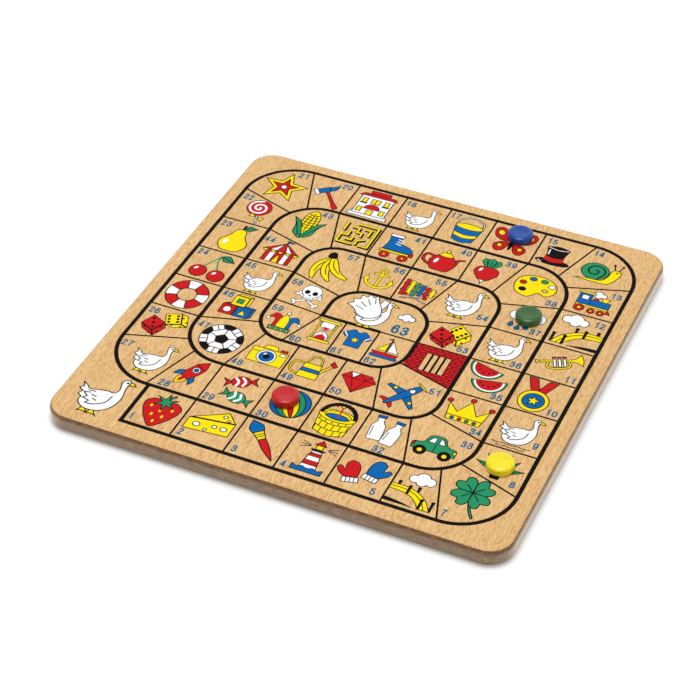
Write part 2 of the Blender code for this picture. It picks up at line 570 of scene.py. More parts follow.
# Pictures: one in each space, screen printed in flat inks with a black keyline, geese on every ninth
# space and the old hazards of the game on theirs. All lie in the same thin print as the track.
BARE = "bare"
ARC_PARTS = 12


def oval(x, y, across, up=None, turn=0):
    """An ellipse from its half width and half height, or a circle from its radius."""
    steps = ROUND_STEPS + int(across)
    points = [polar(1, 360 * step / steps) for step in range(steps)]
    return [spun((right * across, rise * (up or across)), turn, x, y) for right, rise in points]


def box(x, y, wide, high):
    return [
        (x - wide / 2, y - high / 2),
        (x + wide / 2, y - high / 2),
        (x + wide / 2, y + high / 2),
        (x - wide / 2, y + high / 2),
    ]


def star(x, y, outer, inner, tips, turn=90):
    return [polar((outer, inner)[step % 2], turn + 180 * step / tips, x, y) for step in range(2 * tips)]


def soft(*points):
    """A closed smooth outline."""
    return bend(points, closed=True)


def both(*half):
    """A closed smooth outline from its right half, listed from one end to the other."""
    return soft(*half, *((-x, y) for x, y in reversed(half) if x))


def strawberry(pen):
    pen.fill("red", both((0, 9), (8, 11), (14, 6), (12, -3), (6, -12), (0, -17)))
    for x, y in ((-8, 3), (0, 0), (8, 3), (-4, -5), (4, -5), (0, -11)):
        pen.flat("yellow", oval(x, y, 0.9, 1.5))
    pen.fill("green", stroke(2.4, (0, 9), (1, 13), (4, 17)))
    pen.fill("green", star(0, 9, 10, 3.6, 6, turn=30))


def cheese(pen):
    pen.fill("yellow", [(-17, -1), (17, 4), (8, 13)])
    pen.fill("yellow", [(-17, -1), (-17, -13), (17, -10), (17, 4)])
    for x, y, across in ((-9, -6, 3), (4, -4, 2.2), (11, -4, 2.8), (-1, -9, 1.8), (7, 8, 2), (11, 5, 1.5)):
        pen.fill("white", oval(x, y, across, across * 0.85))


def paintbrush(pen):
    brush = pen.at(-1, 1, turn=42)
    brush.fill("red", both((0, 2), (2.4, 1), (3, -6), (1.8, -15), (0, -21)))
    brush.fill("blue", both((0, 20), (0, 20), (5, 13), (4, 7), (4, 7)))
    brush.fill("yellow", [(-3, 0), (3, 0), (4, 8), (-4, 8)])
    brush.line((-3, 3), (3, 3))
    brush.line((-3.4, 5), (3.4, 5))


def lighthouse(pen):
    pen.fill("white", [(-7, -13), (7, -13), (4, 6), (-4, 6)])
    pen.fill("red", [(-6.5, -9), (6.5, -9), (5.8, -4), (-5.8, -4)])
    pen.fill("red", [(-5.2, 0), (5.2, 0), (4.4, 4), (-4.4, 4)])
    pen.fill("yellow", box(0, 10, 6, 5))
    pen.flat("black", box(0, 7, 11, 1.8))
    pen.fill("red", [(-5, 12), (5, 12), (0, 18)])
    for side in (-1, 1):
        for rise in (8, 10, 12):
            pen.line((side * 7, 10 + (rise - 10) / 3), (side * 14, rise + (rise - 10) / 2))
    crest = [(x, -11 - 1.5 * (x % 8 == 0)) for x in range(-12, 13, 4)]
    pen.fill("blue", soft((-12, -17), (-12, -17), *crest, (12, -17), (12, -17)))


def mitten(pen, ink):
    palm = [(-5, -5), (-5, -5), (-6.5, 3), (-5, 10), (0, 13), (4.6, 10), (5.4, 4)]
    thumb = [(8, 7), (11.5, 5.5), (10, 0), (5, -5), (5, -5)]
    pen.fill(ink, soft(*palm, *thumb))
    pen.fill("white", box(0, -7.5, 13, 6))
    for x in (-3, 0, 3):
        pen.line((x, -10), (x, -5))


def mittens(pen):
    mitten(pen.at(-8, -3, turn=14, flip=True), "red")
    mitten(pen.at(8, 4, turn=-10), "blue")


def puff(pen, x, y, size):
    """A small white cloud."""
    lobes = ((-5, 0, 3.4), (0, 2, 4.6), (5, 0.4, 3.6), (0, -1.4, 3.6))
    outlines = [oval(x + right * size, y + up * size, radius * size) for right, up, radius in lobes]
    pen.fill("white", *outlines)


def post(pen, x, y, high):
    """A bridge post with a round knob."""
    pen.flat("black", box(x, y, 2.4, high), oval(x, y + high / 2, 1.6))


def bridge(pen, cloud=-2):
    """Half an arched footbridge, its shade on the water below and a cloud above."""
    shade = [
        (-23.5, -9), (-23.5, -9), (-10, -10.4), (3, -13.2), (3, -13.2), (-23.5, -13.2),
        (-23.5, -13.2),
    ]
    pen.flat("black", soft(*shade))
    for far_post in ((-17.4, 6.4, 7.4), (-0.6, 4.6, 8), (14.8, -7.6, 10.6)):
        post(pen, *far_post)
    outer = [(-23.5, 6.8), (-23.5, 6.8), (-11, 7.2), (0, 4.2), (9.4, -3), (15.6, -13), (15.6, -13)]
    inner = [(5.4, -13), (5.4, -13), (0.6, -6.6), (-8, -1), (-23.5, 0.6), (-23.5, 0.6)]
    pen.fill("yellow", soft(*outer, *inner))
    pen.line((-23, 3.9), (-10, 3.8), (-0.6, 0.4), (6.4, -5.6), (10.6, -12.6))
    for near_post in ((-8, 3.4, 9), (5.8, -8, 10.6)):
        post(pen, *near_post)
    puff(pen, cloud, 17, 1.32)


def mirrored_bridge(pen):
    bridge(pen.at(0, 0, flip=True), cloud=4)


def clover(pen):
    pen.fill("green", stroke(2.2, (0, 3), (2, -8), (7, -17)))
    for quarter in range(4):
        lobe = pen.at(0, 4, turn=45 + 90 * quarter)
        lobe.fill("green", both((0, 0), (0, 0), (6, 5.5), (7, 11), (3.5, 13.5), (0, 11), (0, 11)))
        lobe.line((0, 2), (0, 8))


def aloe(pen):
    for turn in (18, 162, 50, 130, 76, 104):
        spike = pen.at(0, -8, turn=turn)
        spike.fill("green", soft((0, -3), (0, -3), (12, -3), (24, 0), (24, 0), (12, 3), (0, 3), (0, 3)))
        spike.line((4, 0), (19, 0))
    pen.flat("black", [(-5.4, -8), (5.4, -8), (4, -18), (-4, -18)])
    pen.fill("yellow", box(0, -11.6, 11, 3))


def goose(pen, feet=True):
    if feet:
        for x in (-3.8, 2):
            heel = [(x - 1, -12), (x - 1, -12), (x - 1.6, -15), (x - 3.2, -17.6), (x - 3.2, -17.6)]
            toes = [
                (x + 1.6, -17), (x + 5.8, -18.4), (x + 5.8, -18.4), (x + 2.6, -15), (x + 1.6, -12),
                (x + 1.6, -12),
            ]
            pen.fill("yellow", soft(*heel, *toes))
    beak = [
        (11.8, 17.4), (11.8, 17.4), (14.6, 16.6), (17.2, 14.2), (17.2, 14.2), (11.8, 13.4),
        (11.8, 13.4),
    ]
    pen.fill("yellow", soft(*beak))
    rear = [
        (-10.4, -9), (-10.4, -9), (-10, -6), (-10, -6), (-13.2, -4), (-13.2, -4), (-11.6, -1),
        (-11.6, -1),
    ]
    tail = [
        (-15.2, 1), (-15.2, 1), (-12.8, 3), (-12.8, 3), (-15, 7.4), (-15, 7.4), (-11, 5.2),
        (-8, 2.8),
    ]
    back = [(-2.6, 4), (3, 5), (6.8, 4.8), (8.4, 7.6), (7.8, 11), (6.8, 14.6), (7.6, 17.2), (10.2, 18.4)]
    front = [
        (12.6, 16.6), (12, 13), (12.4, 9), (13.6, 4.4), (13.8, -0.6), (12, -7), (8, -12),
        (2, -14.4), (-4, -14.2),
    ]
    pen.fill("white", soft(*rear, *tail, *back, *front, (-8, -12)))
    pen.flat("black", oval(10.4, 15.6, 0.9))
    tips = [
        (-5, -9.6), (-5, -9.6), (-3.6, -7.2), (-3.6, -7.2), (-8.4, -6), (-8.4, -6), (-6.4, -4),
        (-6.4, -4), (-10, -1.4),
    ]
    pen.line((7.6, 1.4), (6, -5), (0, -9.2), *tips, tips[-1], (-6, -0.4), width=0.8)
    for path in (((-3.6, 1.4), (-8.2, 1)), ((-1, -2.6), (-4.6, -1.6)), ((0.4, -5.6), (-2.6, -4.6))):
        pen.line(*path)


def swimming_goose(pen):
    goose(pen.at(0, 2), feet=False)
    for y, reach in ((-14, 15), (-16.6, 11)):
        ripple = [(reach * step / 3, y + 0.7 * (step % 2)) for step in range(-3, 4)]
        pen.line(*ripple)


def medal(pen):
    for side in (-1, 1):
        pen.fill("red", [(side * 11, 17), (side * 4, 17), (side * -2, 2), (side * 4, 0)])
    pen.fill("yellow", oval(0, -6, 11))
    pen.fill("blue", oval(0, -6, 8))
    pen.fill("yellow", star(0, -6, 6, 2.6, 5))


def trumpet(pen):
    horn = pen.at(0, 1, turn=24)
    horn.fill("yellow", stroke(2.6, (-10, 0), (-11.5, -5), (-8, -7.6), (3, -7.6), (7, -5), (6, 0)))
    throat = [
        (6, 2.4), (6, 2.4), (12, 3.6), (17, 9), (17, 9), (18.4, 1), (17, -7), (17, -7), (12, -1.6),
        (6, -0.4), (6, -0.4),
    ]
    horn.fill("yellow", stroke(2.8, (-18, 1), (7, 1)), soft(*throat))
    horn.fill("yellow", [(-20, 3.6), (-16.6, 2), (-16.6, 0), (-20, -1.6)])
    for x in (-5, -1, 3):
        horn.fill("white", box(x, -1.5, 3, 10))
        horn.fill("red", box(x, 5, 3.6, 2.2))


def train(pen):
    puff(pen, 1, 11.5, 0.9)
    pen.fill("yellow", [(7, 3), (11, 3), (13, 10), (5, 10)])
    pen.fill("red", oval(1, 4, 2.8, 3.6))
    pen.fill("blue", box(5, 0, 20, 9))
    pen.fill("blue", box(-9, 3, 12, 16))
    pen.fill("white", box(-9, 5.5, 7, 6.5))
    pen.fill("yellow", box(-9, 12, 16, 3))
    pen.fill("red", [(14, -3), (18.5, -11), (13, -11)])
    pen.fill("yellow", box(0, -5.5, 30, 3))
    for x, radius in ((-10, 5), (1, 3.8), (9.5, 3.8)):
        pen.fill("red", oval(x, radius - 15, radius))
        pen.fill("yellow", oval(x, radius - 15, radius * 0.45))


def snail(pen):
    horns = ((11, 6, 9, 13), (14, 6, 16, 13))
    for x, y, tip, top in horns:
        pen.line((x, y), (tip, top), width=1.1)
        pen.flat("black", oval(tip, top, 1.2))
    foot = [
        (-18, -13), (-18, -13), (-7, -10), (4, -9), (8, -2), (9, 5), (13, 7.4), (17, 4), (16, -3),
        (12, -11), (6, -13.4),
    ]
    pen.fill("yellow", soft(*foot))
    pen.flat("black", oval(13.4, 4, 0.9))
    pen.fill("green", oval(-3, 0, 11.4, 10.6))
    coil = [polar(9 - turn * 0.85, -60 + turn * 58, -3, 0) for turn in range(10)]
    pen.line(*coil, width=1.3)


def top_hat(pen):
    pen.flat("black", oval(0, -10, 17.4, 5))
    pen.flat("black", both((0, 16), (12, 13), (12, 13), (9.4, 2), (10, -8), (10, -8), (0, -11)))
    band = [(0, -4), (9.6, -1.4), (9.6, -1.4), (10, -7.6), (10, -7.6), (0, -10.4)]
    pen.flat("red", both(*band))
    pen.line((-10, 12), (0, 10), (10, 12), width=0.8, ink="white")
    pen.line((-8, 8.6), (-7.4, 1), width=1.2, ink="white")
    pen.line((-14.5, -10.6), (-10, -13), width=0.9, ink="white")


def butterfly(pen):
    for side in pen.sides():
        side.fill("red", soft((0.5, -1), (0.5, -1), (8, -2), (13, -7), (10, -14), (4, -12)))
        side.fill("red", soft((0.5, 0), (0.5, 0), (4, 9), (12, 15), (17, 11), (15, 3), (8, -1)))
        side.fill("yellow", oval(11.5, 8, 3, 3.6, turn=-30))
        side.fill("yellow", oval(8, -7, 2.4))
        side.line((0.6, 7), (2.4, 13), (5, 15.4))
    pen.flat("black", oval(0, -1, 1.7, 10))


def bucket(pen):
    pen.fill("white", stroke(2, (-11, 5), (-9.4, 13), (0, 17), (9.4, 13), (11, 5)))
    pen.fill("blue", both((12, 5), (12, 5), (8.6, -14), (8.6, -14), (0, -16.6)))
    stripe = [(0, -5.6), (10.6, -3), (10.6, -3), (9.6, -8.4), (9.6, -8.4), (0, -11)]
    pen.fill("yellow", both(*stripe))
    pen.fill("yellow", oval(0, 5, 12, 4))


def inn(pen):
    pen.fill("white", [(-17, -17), (17, -17), (14.5, -11), (-14.5, -11)])
    pen.fill("red", box(0, 14.6, 17, 5.6))
    pen.fill("white", box(0, -1.6, 27, 24.4))
    pen.fill("red", [(-16.4, 9.4), (16.4, 9.4), (12.6, 13.4), (-12.6, 13.4)])
    for x, y in ((-9, 4), (-1.7, 4), (1.7, 4), (9, 4), (-9.4, -8), (9.4, -8)):
        pen.fill("yellow", box(x, y, 4.4, 6.6))
    for x in (-9, 9):
        pen.flat("black", box(x, 0.4, 6, 1.6))
    pen.fill("yellow", box(0, -10.4, 5.6, 7))
    pen.fill("red", [polar(6.8, 180 * step / ARC_PARTS, 0, -6.4) for step in range(ARC_PARTS + 1)])


def hammer(pen):
    tool = pen.at(2, -1, turn=38)
    tool.fill("red", both((1.8, 8), (1.8, 8), (1.8, -8), (2.6, -19)))
    claw = [(3, 6.6), (3, 6.6), (10, 8), (14, 13.6), (14, 13.6), (8, 12.8), (3, 14), (3, 14)]
    tool.fill("blue", soft(*claw))
    tool.fill("blue", box(-2, 10.3, 11, 7.4))
    tool.fill("white", box(-9, 10.3, 4.4, 9.4))


def red_star(pen):
    pen.fill("yellow", star(0, -1, 18, 8, 5))
    pen.fill("red", star(0, -1, 11.5, 4.8, 5))
    pen.fill("white", oval(0, -1, 2.6))


def lollipop(pen):
    pen.fill("white", stroke(2.2, (1, -2), (5, -18)))
    pen.fill("red", oval(-1, 5, 12))
    coil = [polar(10.6 - turn * 0.72, 90 + turn * 50, -1, 5) for turn in range(15)]
    pen.line(*coil, width=2, ink="white")
    for loop in pen.sides(2.4, -8.6, turn=-14):
        loop.fill("yellow", [(0.4, 0), (7, 3.6), (7, -3.6)])


def leaf(pen):
    """A leaf with its stalk at zero, pointing right."""
    pen.fill("green", soft((0, 0), (0, 0), (4, 3.4), (11, 0), (11, 0), (4, -3.4)))
    pen.line((1.4, 0), (8, 0))


def pear(pen):
    pen.line((0, 10), (0.6, 17), width=1.8)
    leaf(pen.at(0.6, 13, turn=18))
    pen.fill("yellow", both((0, 12), (4.6, 9.6), (6.4, 3), (11.6, -6), (7.4, -15), (0, -16.6)))
    pen.flat("white", oval(-6, -6, 1.6, 3.4, turn=-16))


def cherries(pen):
    for x, y in ((-8, -5), (8, -6)):
        pen.line((x, y), (x * 0.3, 6), (2, 15), width=1.3, ink="green")
    leaf(pen.at(2, 15, turn=-20, size=1.25))
    for x, y in ((-8, -8), (8, -9.4)):
        pen.fill("red", oval(x, y, 7.4))
        pen.flat("white", oval(x - 2.6, y + 2.8, 1.1, 2, turn=-40))


def ring_part(inner, outer, start, end):
    """A stretch of a flat ring, between two angles."""
    angles = [start + (end - start) * step / ARC_PARTS for step in range(ARC_PARTS + 1)]
    return [polar(outer, angle) for angle in angles] + [polar(inner, angle) for angle in reversed(angles)]


def lifebuoy(pen):
    pen.fill("white", oval(0, 0, 16.4))
    for quarter in range(4):
        pen.fill("red", ring_part(7, 16.4, 18 + 90 * quarter, 72 + 90 * quarter))
    pen.fill(BARE, oval(0, 0, 7.6))


THREE_PIPS = ((-1, 1), (0, 0), (1, -1))
SIX_PIPS = [(side, up) for side in (-1, 1) for up in (-1, 0, 1)]


def die(pen, ink, edge, pips):
    """A die seen square on to one face, with two narrow sides in view."""
    half, across, drop = edge / 2, edge * 0.4, edge * 0.3
    corners = [(half, -half), (half + across, -half - drop)]
    pen.fill(ink, [(half, half), *corners, (half + across, half - drop)])
    pen.fill(ink, [(-half, -half), *corners, (across - half, -half - drop)])
    pen.fill(ink, box(0, 0, edge, edge))
    for right, up in pips:
        pen.flat("black", oval(right * edge * 0.27, up * edge * 0.27, edge * 0.1))
    for share in (0.27, 0.73):
        side_y = -drop * share - edge * (share - 0.5) * 0.6
        below_x = across * share - edge * (0.5 - share) * 0.8
        pen.flat("black", oval(half + across * share, side_y, edge * 0.07))
        pen.flat("black", oval(below_x, -half - drop * share, edge * 0.07))


def dice(pen):
    die(pen.at(6.5, 7.5, turn=22), "yellow", 14.5, SIX_PIPS)
    die(pen.at(-7.5, -3.5, turn=-24), "red", 15, THREE_PIPS)


def turned_dice(pen):
    die(pen.at(5.5, 5, turn=-36), "yellow", 16, SIX_PIPS)
    die(pen.at(-7.5, -3, turn=-24), "red", 15.5, THREE_PIPS)


def rocket(pen):
    ship = pen.at(-1, 1, turn=-28)
    ship.fill("yellow", both((0, -20), (0, -20), (4.4, -13), (3.4, -8), (3.4, -8)))
    ship.flat("red", both((0, -16), (0, -16), (2, -12), (1.6, -9), (1.6, -9)))
    for fin in ship.sides():
        fin.fill("blue", soft((4, 0), (4, 0), (10, -6), (10, -13), (10, -13), (4, -8), (4, -8)))
    ship.fill("red", both((0, 19), (0, 19), (5.6, 10), (6, -2), (4, -9), (4, -9)))
    ship.fill("white", oval(0, 4, 3.8))
    ship.fill("blue", oval(0, 4, 2.4))
    ship.line((-5, 9.6), (0, 8.6), (5, 9.6))


def sweet(pen, ink):
    for twist in pen.sides():
        twist.fill(ink, [(5, 0), (13, 5.4), (11, 0), (13, -5.4)])
    pen.fill(ink, oval(0, 0, 7.4, 6))
    for x in (-3, 2):
        pen.line((x - 1, 4.4), (x + 1.2, 0), (x - 1, -4.4), width=1.8, ink="white")


def sweets(pen):
    sweet(pen.at(-2, 8, turn=22), "red")
    sweet(pen.at(2, -8, turn=-12), "green")


def beach_ball(pen):
    ball = pen.at(0, 0, turn=24)
    ball.fill("blue", oval(0, 0, 15))
    ball.fill("green", oval(0, 0, 11, 15))
    ball.fill("yellow", oval(0, 0, 6.6, 15))
    ball.fill("red", oval(0, 0, 2.4, 15))


def well(pen):
    """A round well of yellow stone, with its hoop, rope and pulley."""
    pen.fill("yellow", both((15, 3), (15, 3), (12.6, -16), (12.6, -16), (0, -20)))
    levels = (1.6, -2.6, -9, -15.6)
    for row, (top, bottom) in enumerate(zip(levels, levels[1:])):
        if bottom > levels[-1]:
            pen.line(*[(x, bottom - 4 + 0.02 * x * x) for x in range(-13, 14, 2)])
        for step in range(-2, 3):
            x = 5.4 * step + 2.7 * (row % 2) - 1.3
            sag = 4 - 0.02 * x * x
            pen.line((x, top - sag), (x, bottom - sag))
    pen.fill("yellow", oval(0, 3.4, 15.6, 6.8))
    pen.fill("yellow", oval(0, 4, 11, 5))
    pen.fill("blue", oval(0, 2.6, 9.6, 3.4))
    pen.line((0, 16), (0.8, 2.4), width=1.3, ink="red")
    pen.line((-5, 13), (-2.4, 16), (1.4, 15), width=1.1, ink="red")
    pen.fill("yellow", oval(0, 15, 2))
    pen.at(0, 3.4).flat("black", ring_part(11.8, 15.6, 0, 180))


def bottle(pen):
    half = [(0, 12), (3.4, 12), (3.4, 12), (3.4, 7), (6.4, 1), (6.4, -14), (5, -16), (0, -16)]
    pen.fill("white", both(*half))
    pen.fill("blue", box(0, 13.6, 8.4, 3.6))
    pen.line((-4, 0), (-4.2, -11))


def milk_bottles(pen):
    bottle(pen.at(-7.4, 1, turn=5))
    bottle(pen.at(7.4, -1, turn=-6))


def car(pen):
    body = [
        (-17, -8), (-17, -8), (-17, -1), (-10, 1), (-6, 9), (4, 9.6), (9, 2), (16, 0), (17, -8),
        (17, -8),
    ]
    pen.fill("green", soft(*body))
    pen.fill("white", soft((-7.4, 1.4), (-7.4, 1.4), (-4.4, 7), (-1, 7.4), (-1, 7.4), (-1, 1.4), (-1, 1.4)))
    pen.fill("white", soft((1, 1.4), (1, 1.4), (1, 7.4), (1, 7.4), (4, 7), (6.8, 1.4), (6.8, 1.4)))
    pen.fill("yellow", oval(15.4, -3, 1.6, 2))
    pen.fill("red", box(-16, -3, 2.6, 4))
    pen.line((0, 1), (0, -7))
    for x in (-9.4, 9.4):
        pen.flat("black", oval(x, -8.4, 5))
        pen.fill("yellow", oval(x, -8.4, 2.6))


def crown(pen):
    pen.fill("yellow", [(-14, -13), (14, -13), (17, 7), (8, -2), (0, 12), (-8, -2), (-17, 7)])
    for x, y in ((-17, 8), (0, 13.4), (17, 8)):
        pen.fill("red", oval(x, y, 2.6))
    pen.line((-14.2, -7.6), (14.2, -7.6), width=0.9)
    for x, ink in ((-9, "blue"), (-3, "red"), (3, "green"), (9, "blue")):
        pen.fill(ink, oval(x, -10.3, 1.9))


def half_disc(radius):
    """The lower half of a disc."""
    return [polar(radius, 180 + 180 * step / ARC_PARTS) for step in range(ARC_PARTS + 1)]


def melon(pen):
    """A half slice with the rind below."""
    pen.fill("green", half_disc(14))
    pen.at(0, -0.75).flat("white", half_disc(11.6))
    pen.at(0, -0.75).flat("red", half_disc(10.2))
    for degrees in (205, 235, 270, 305, 335):
        x, y = polar(7.2, degrees)
        pen.flat("black", oval(x, y, 0.7, 1.2, turn=degrees + 90))


def melon_slices(pen):
    melon(pen.at(-3, 13, turn=-14))
    melon(pen.at(3, -1, turn=12))


def rain_cloud(pen):
    for x, y in ((-11, -9), (-4, -12), (3, -9)):
        pen.at(x, y).fill("blue", both((0, 5), (0, 5), (2.8, -1), (0, -3.6)))
    puff(pen, 0, 5, 2)


def palette(pen):
    board = [
        (-16, 1), (-11, 10), (2, 13), (14, 8), (17, -2), (11, -9), (5, -7), (2, -10), (-3, -14),
        (-13, -10),
    ]
    pen.fill("yellow", soft(*board))
    pen.fill(BARE, oval(8.6, -2.6, 2.6, 2.2))
    dabs = ((-10, 2, "red"), (-4, 8, "blue"), (5, 8, "green"), (12, 4, "white"), (-8, -6, "black"))
    for x, y, ink in dabs:
        pen.fill(ink, oval(x, y, 3, 2.6))


def radish(pen):
    for turn in (-28, 26, 0):
        frond = pen.at(0, 3, turn=turn)
        frond.fill("green", both((0, 15), (3.6, 12), (3, 6), (1, 0)))
        frond.line((0, 3), (0, 11))
    pen.fill("red", both((0, 6), (8, 5), (10.6, -2), (6, -10), (1.4, -14), (0, -18)))
    pen.fill("white", both((0, -11.4), (4.6, -11.4), (4.6, -11.4), (1.4, -14), (0, -18)))
    pen.flat("white", oval(-5.6, 1, 1.2, 2.6, turn=-20))


def teapot(pen):
    pen.fill("red", stroke(3, (-9, 3), (-16, 4), (-17, -4), (-10, -9)))
    spout = [
        (8, -8), (8, -8), (12, -4), (13, 3), (18, 6), (18, 6), (16, 7.6), (16, 7.6), (10, 5),
        (8, 1), (8, 1),
    ]
    pen.fill("red", soft(*spout))
    pen.fill("red", both((0, 7), (7, 6), (12, -2), (9, -12), (5, -14.6), (0, -14.6)))
    pen.fill("yellow", both((0, 11), (4, 10), (7.4, 6), (7.4, 6), (0, 4.6)))
    pen.fill("yellow", oval(0, 12.6, 2.2))
    pen.flat("white", oval(-6, -2, 1.4, 3.6, turn=-14))


def roller_skate(pen):
    boot = [
        (-10, 15), (-10, 15), (1, 15), (1, 15), (2, 6), (10, 3), (15, -1), (15.6, -6), (15.6, -6),
        (-11, -6), (-11, -6), (-9, 4),
    ]
    pen.fill("blue", soft(*boot))
    pen.fill("white", box(-4.4, 14, 12.6, 4))
    pen.fill("yellow", box(2.4, -7.4, 29, 3.4))
    for y in (4, 7, 10):
        pen.line((-2, y), (2.4, y - 1), width=1, ink="white")
    pen.fill("red", box(15, -6.4, 4, 5))
    for x in (-6, 10):
        pen.fill("red", oval(x, -12.4, 4.6))
        pen.fill("yellow", oval(x, -12.4, 1.8))


def maze(pen):
    """Yellow walls that stand on the wood, with their dark sides to the right and below."""
    walls = (
        ((-16, 2), (-16, 16)),
        ((-6, 16), (16, 16), (16, -16), (6, -16)),
        ((-16, -2), (-16, -16), (0, -16)),
        ((-16, -4), (-9, -4), (-9, 4)),
        ((-10, 10), (-2, 10), (-2, 3), (3, 3), (3, -3)),
        ((3, 10), (10, 10), (10, 0)),
        ((-10, -10), (-3, -10), (-3, -4)),
        ((10, -5), (3, -9), (3, -16)),
    )
    for wall in walls:
        pen.at(1.4, -1.5).flat("black", ribbon(3.4, wall))
        pen.flat("black", ribbon(3, wall))
    for wall in walls:
        pen.flat("yellow", ribbon(1.9, wall))


def corn(pen):
    pen.fill("yellow", both((0, 17), (4.6, 13), (6.4, 4), (5, -10), (0, -14)))
    for x in (-3, 0, 3):
        pen.line((x * 0.7, 14 - abs(x)), (x * 1.1, 4), (x, -9))
    for y in range(-3, 15, 3):
        reach = 5.6 - max(0, y - 6) * 0.32
        pen.line((-reach, y), (0, y - 1), (reach, y))
    blade = [(0, -17), (7, -12), (8.6, -3), (13, 6), (13, 6), (6, 2), (2.6, -5), (0, -12)]
    for husk in pen.sides():
        husk.fill("green", soft(*blade))
        husk.line((2, -14), (6, -6), (9, 0))


def tent(pen):
    pen.line((0, 12), (0, 18), width=1)
    pen.fill("blue", [(0.2, 18), (8, 16), (0.2, 13.6)])
    pen.fill("white", [(-13, -15), (13, -15), (13, 2), (-13, 2)])
    for x in (-10.8, 10.8):
        pen.fill("red", box(x, -6.5, 4.4, 17))
    pen.fill("red", box(0, -6.5, 9, 17))
    pen.fill("yellow", [(-3.4, -15), (3.4, -15), (0, 0)])
    pen.fill("red", [(-17, 1), (17, 1), (0, 14)])
    for side in (-1, 1):
        pen.fill("white", [(side * 4, 1), (side * 11, 1), (0, 14)])
    for x in range(-14, 15, 7):
        pen.fill("yellow", soft((x - 3.4, 1.4), (x - 3.4, 1.4), (x, -2.8), (x + 3.4, 1.4), (x + 3.4, 1.4)))


def block(pen, ink):
    pen.fill(ink, [(7.6, -7), (11, -4), (11, 10), (7.6, 7.6)])
    pen.fill(ink, [(-7, 7.6), (7.6, 7.6), (11, 10.6), (-3, 10.6)])
    pen.fill(ink, box(0, 0, 15, 15))


def toy_blocks(pen):
    block(pen.at(-9, -9), "red")
    pen.fill("white", oval(-9, -9, 4.4))
    block(pen.at(7, -9), "blue")
    pen.fill("yellow", [(2.4, -13), (11.6, -13), (7, -4.6)])
    block(pen.at(-2, 6.4), "yellow")
    pen.fill("green", box(-2, 6.4, 7.4, 7.4))


def football(pen):
    pen.fill("white", oval(0, 0, 16))
    pen.flat("black", [polar(5.6, 90 + 72 * step) for step in range(5)])
    for step in range(5):
        middle = 90 + 72 * step
        pen.line(polar(5, middle), polar(11, middle))
        pen.line(polar(10.8, middle + 14), polar(9.8, middle + 36), polar(10.8, middle + 58))
        pen.line(polar(9.8, middle + 36), polar(15.6, middle + 36))
        patch = [(10.6, -15), (10.6, 15), (15, 21), (15.7, 8), (15.7, -8), (15, -21)]
        pen.flat("black", [polar(radius, middle + turn) for radius, turn in patch])


def camera_picture(pen):
    pen.fill("red", box(11, 9, 7, 4))
    pen.fill("yellow", [(-9, 7), (7, 7), (4, 13), (-6, 13)])
    pen.fill("yellow", box(0, -2.4, 34, 20))
    pen.fill("white", box(12, 4, 6, 4))
    pen.line((-16.6, 2), (-9, 2))
    pen.fill("white", oval(-1, -2.4, 9.2))
    pen.fill("blue", oval(-1, -2.4, 7))
    pen.fill("black", oval(-1, -2.4, 3.2))
    pen.flat("white", oval(-3.4, 0.6, 1.5, 1, turn=40))


def watering_can(pen):
    pen.fill("yellow", stroke(2.4, (-7, 3), (-16, 2), (-16, -9), (-7, -12)))
    pen.fill("yellow", stroke(2.2, (-6, 4), (-3, 12), (4, 12), (6, 4)))
    pen.fill("yellow", [(6, -11), (6, -5), (14, 9), (16.4, 7.6)])
    pen.fill("red", [(11.4, 9), (14, 13.6), (19, 8), (16.6, 5)])
    pen.fill("yellow", [(-7.6, 4), (7.6, 4), (9.4, -14), (-9.4, -14)])
    pen.fill("blue", [(-8.2, -2), (8.2, -2), (8.8, -7), (-8.8, -7)])


def gem(pen):
    pen.fill("red", [(-10, 11), (10, 11), (17, 3), (0, -16), (-17, 3)])
    pen.flat("white", [(-9, 10), (-2, 10), (-6, 4)])
    for path in (((-16, 3), (16, 3)), ((-6.4, 3), (0, -15)), ((6.4, 3), (0, -15))):
        pen.line(*path)
    facets = ((-10, 10.6), (-6.4, 3), (0, 10.6), (6.4, 3), (10, 10.6))
    for path in zip(facets, facets[1:]):
        pen.line(*path)


def aeroplane(pen):
    craft = pen.at(0, 0, turn=-38)
    for wing in craft.sides():
        wing.fill("blue", soft((2, 6), (2, 6), (18, -1), (18, -1), (18, -5), (18, -5), (2, -3), (2, -3)))
        wing.fill("red", [(1, -11), (8, -15), (8, -18), (1, -17)])
        wing.fill("yellow", oval(11, -0.6, 2.2))
    craft.fill("blue", both((0, 18), (3, 16), (4, 8), (3.4, -6), (1.4, -18), (0, -18.6)))
    craft.fill("white", both((0, 12), (2.4, 10), (2.4, 7), (0, 6)))
    craft.fill("yellow", oval(0, 18.4, 7, 1.3))


def xylophone(pen):
    for y in (5, -7):
        pen.line((-17, y * 0.8 + 1), (17, y * 0.55 + 0.6), width=1.8)
    inks = ("red", "yellow", "green", "blue", "red", "yellow")
    for step, ink in enumerate(inks):
        pen.fill(ink, box(-14 + 5.6 * step, 0, 4.8, 26 - 2.6 * step))
    for stick in pen.sides(0, -1):
        stick.fill("white", stroke(1.8, (-13, -16), (9, -9)))
        stick.fill("red", oval(10, -8.6, 2.6))


def anchor(pen):
    pen.fill(
        "yellow",
        stroke(3.6, (0, 10), (0, -13)),
        stroke(3.6, (-8, 6), (8, 6)),
        stroke(4, (-14, -4), (-10, -11.6), (0, -15.4), (10, -11.6), (14, -4)),
        [(-18, -6), (-13, 2.6), (-9, -6)],
        [(18, -6), (13, 2.6), (9, -6)],
        oval(0, 13.4, 4.6),
    )
    pen.fill(BARE, oval(0, 13.4, 2.2))


